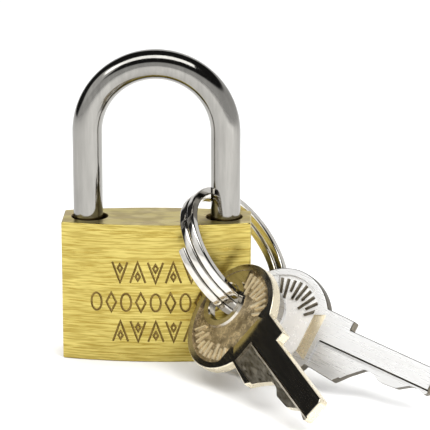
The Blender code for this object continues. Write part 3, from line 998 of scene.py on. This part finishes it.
def raised_parts(metals):
    """What stands on a field: the boss round the hole, the arch beside it and two fans of ticks."""
    low, high = (FIELD - FOOT) * MM, (HALF - BOSS_BELOW_FACE) * MM
    boss = rod((0, 0, low), (0, 0, high), BOSS_RADIUS * MM, FINE_ROUND, BOSS_TOP_RADIUS * MM)
    arch = [*bow(BOW_RIM - FOOT, ARCH_START, ARCH_END), *ARCH_INSIDE]
    cap = plate(scaled(arch), low, (HALF - BELOW_FACE) * MM)
    parts = [wear(boss, metals["face"]), wear(cap, metals["face"])]
    for start, end, near, far in TICK_FANS:
        for index in range(round((end - start) / TICK_PITCH) + 1):
            uneven = UNEVEN_NEAR * math.sin(index * UNEVEN_TURN)
            ray = tick(start + TICK_PITCH * index, near + uneven, far - abs(uneven) * UNEVEN_FAR)
            parts.append(wear(ray, metals["tick"]))
    return parts


def through_cuts(metals):
    """Cutters for the ring hole with a flare on each face, and for the groove along the back."""
    top = 2 * HALF * MM
    cuts = [rod((0, 0, -top), (0, 0, top), HOLE_RADIUS * MM, FINE_ROUND)]
    for side in (-1, 1):
        low, high = (0, 0, side * FLARE_LOW * MM), (0, 0, side * FLARE_HIGH * MM)
        cuts.append(rod(low, high, FLARE_RADIUS * MM, FINE_ROUND, FLARE_TOP_RADIUS * MM))
    groove_low = (BACK_GROOVE_START, BACK_GROOVE_LOW, -2 * HALF)
    groove_high = (PAST_TIP, BACK_GROOVE_HIGH, BACK_GROOVE_DEPTH - HALF)
    cuts.append(box(*scaled((groove_low, groove_high))))
    return [wear(cut, metals["face"]) for cut in cuts]


def make_key(name):
    """A stamped key: rimmed bow with fans of ticks, wide collar, milled and cut blade."""
    metals = KEY_METALS[name]
    key = key_blank(metals)
    for side in (1, -1):
        cuts = face_cuts(metals)
        if side > 0:
            cuts += blade_cuts(metals)
        for tools, operation in ((cuts, "DIFFERENCE"), (raised_parts(metals), "UNION")):
            for tool in tools:
                if side < 0:
                    tool.matrix_world = MIRROR
                boolean(key, tool, operation)
    for cut in through_cuts(metals):
        boolean(key, cut)
    key.name = name + "_blank"
    key.matrix_world = key_matrix(name)
    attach(key, name)
    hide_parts(name)
    return smooth(key)


# -------------------------------------------------------------- inside pieces


def dress_inside():
    """Give the pieces inside the lock their own metals."""
    metals = {"spring": spring_steel, "driver_pin": pin_steel}
    for name, node in frame["nodes"].items():
        metal = turned_brass
        for word, choice in metals.items():
            if word in name:
                metal = choice
        node.data.materials.clear()
        node.data.materials.append(metal)


# --------------------------------------------------------------------- stage

FLOOR_SIZE = 6
FLOOR_TONES = ((0.90, 0.90, 0.90), (0.92, 0.92, 0.92))
FLOOR_ROUGH = (0.75, 0.85)
SPECKLE_SCALE = (20, 20, 20)

# The studio's grey by height, where 0 is straight down, 0.5 level and 1 straight up.
STUDIO_GREYS = ((0.0, 0.80), (0.5, 0.78), (0.68, 0.72), (0.74, 0.02), (0.97, 0.02))
# Each card's direction, where its soft edge starts and ends, and its grey.
CARDS = (
    ((-0.82, 0.42, 0.40), (0.80, 0.90), 0.02),
    ((0.10, 0.95, 0.28), (0.88, 0.96), 0.98),
    ((-0.80, -0.26, 0.54), (0.90, 0.95), 0.98),
)

CAMERA_AZIMUTH = 2.8
CAMERA_ELEVATION = 15.5
CAMERA_DISTANCE = 520 * MM
CAMERA_CENTRE = Vector((0, 0, 25 * MM))
SENSOR_WIDTH = 36
FRAME_WIDTH = 93.3 * MM
AIM_RIGHT = 12.6 * MM
AIM_UP = 5.6 * MM


def make_floor():
    """A plain pale floor."""
    bpy.ops.mesh.primitive_plane_add(size=FLOOR_SIZE, location=(0, 0, 0))
    floor = bpy.context.object
    floor.name = "floor"
    nodes = Nodes("floor")
    speckle = nodes.noise(SPECKLE_SCALE)
    tone = nodes.blend(speckle, *FLOOR_TONES)
    roughness = nodes.spread(speckle, (0.0, 1.0), FLOOR_ROUGH)
    floor.data.materials.append(nodes.finish(tone, roughness, metallic=0.0))


def area_light(name, place, aim, size, power):
    """A soft rectangular light."""
    data = bpy.data.lights.new(name, "AREA")
    data.shape = "RECTANGLE"
    data.size, data.size_y = size
    data.energy = power
    lamp = link(name, data)
    lamp.location = place
    lamp.rotation_euler = (Vector(aim) - Vector(place)).to_track_quat("-Z", "Y").to_euler()
    return lamp


def sun(name, toward, spread, power):
    """An even soft light from one side of the sky, so the floor is as pale far off as it is near."""
    data = bpy.data.lights.new(name, "SUN")
    data.angle = math.radians(spread)
    data.energy = power
    lamp = link(name, data)
    lamp.rotation_euler = Vector(toward).to_track_quat("-Z", "Y").to_euler()
    return lamp


def make_lights():
    """Two near soft lights on the front, one panel overhead and an even light from behind."""
    near = area_light(
        "near_left", place=(-0.08, -0.20, 0.32), aim=(0.0, -0.03, 0.0), size=(0.22, 0.16), power=0.06
    )
    fill = area_light(
        "fill_right", place=(0.28, -0.30, 0.28), aim=(0.02, -0.02, 0.0), size=(0.25, 0.25), power=1.6
    )
    back = sun("back", toward=(0.1, -0.5, -1.0), spread=70, power=2.6)
    for lamp in (near, fill, back):
        lamp.visible_glossy = False
    area_light(
        "overhead", place=(-0.18, -0.24, 0.75), aim=(-0.18, -0.10, 0.0), size=(1.28, 0.32), power=3.6
    )


def ramp(tree, source, stops):
    """A smooth grey ramp over a value between 0 and 1."""
    node = tree.nodes.new("ShaderNodeValToRGB")
    node.color_ramp.interpolation = "EASE"
    marks = node.color_ramp.elements
    while len(marks) < len(stops):
        marks.new(0.5)
    for mark, (where, grey) in zip(marks, stops):
        mark.position = where
        mark.color = (grey, grey, grey, 1)
    tree.links.new(source, node.inputs["Fac"])
    return node.outputs["Color"]


def card(tree, direction, under, aim, edge, grey):
    """A soft card of one grey in one direction of the studio, over what is under it."""
    dot = tree.nodes.new("ShaderNodeVectorMath")
    dot.operation = "DOT_PRODUCT"
    tree.links.new(direction, dot.inputs[0])
    dot.inputs[1].default_value = Vector(aim).normalized()
    amount = tree.nodes.new("ShaderNodeMapRange")
    amount.interpolation_type = "SMOOTHSTEP"
    amount.inputs["From Min"].default_value = edge[0]
    amount.inputs["From Max"].default_value = edge[1]
    tree.links.new(dot.outputs["Value"], amount.inputs["Value"])
    mix = tree.nodes.new("ShaderNodeMix")
    mix.data_type = "RGBA"
    tree.links.new(amount.outputs["Result"], mix.inputs[MIX_AMOUNT])
    tree.links.new(under, mix.inputs[MIX_FIRST])
    mix.inputs[MIX_SECOND].default_value = (grey, grey, grey, 1)
    return mix.outputs[MIX_RESULT]


def make_world():
    """A studio with pale walls, a dark ceiling, a dark card on the left and two pale cards."""
    world = bpy.data.worlds.new("studio")
    bpy.context.scene.world = world
    world.use_nodes = True
    tree = world.node_tree
    direction = tree.nodes.new("ShaderNodeTexCoord").outputs["Generated"]
    split = tree.nodes.new("ShaderNodeSeparateXYZ")
    tree.links.new(direction, split.inputs["Vector"])
    height = tree.nodes.new("ShaderNodeMapRange")
    height.inputs["From Min"].default_value = -1.0
    tree.links.new(split.outputs["Z"], height.inputs["Value"])
    shade = ramp(tree, height.outputs["Result"], STUDIO_GREYS)
    for aim, edge, grey in CARDS:
        shade = card(tree, direction, shade, aim, edge, grey)
    tree.links.new(shade, tree.nodes["Background"].inputs["Color"])
    tree.nodes["Background"].inputs["Strength"].default_value = 1.0


def make_camera():
    """A long lens a little above the lock, aimed between the lock and its keys."""
    turn, lift = math.radians(CAMERA_AZIMUTH), math.radians(CAMERA_ELEVATION)
    back = Vector((math.sin(turn) * math.cos(lift), -math.cos(turn) * math.cos(lift), math.sin(lift)))
    right = Vector((math.cos(turn), math.sin(turn), 0))
    up = back.cross(right)
    data = bpy.data.cameras.new("camera")
    data.sensor_width = SENSOR_WIDTH
    data.lens = SENSOR_WIDTH * CAMERA_DISTANCE / FRAME_WIDTH
    camera = link("camera", data)
    camera.location = CAMERA_CENTRE + back * CAMERA_DISTANCE
    look = CAMERA_CENTRE + right * AIM_RIGHT + up * AIM_UP - camera.location
    camera.rotation_euler = look.to_track_quat("-Z", "Y").to_euler()
    bpy.context.scene.camera = camera


make_camera()
make_world()
make_lights()
make_floor()
dress_inside()
make_casing()
make_wall_plugs()
make_shackle()
make_key_ring()
for key_name in KEY_METALS:
    make_key(key_name)
bpy.context.scene.view_settings.view_transform = "Standard"
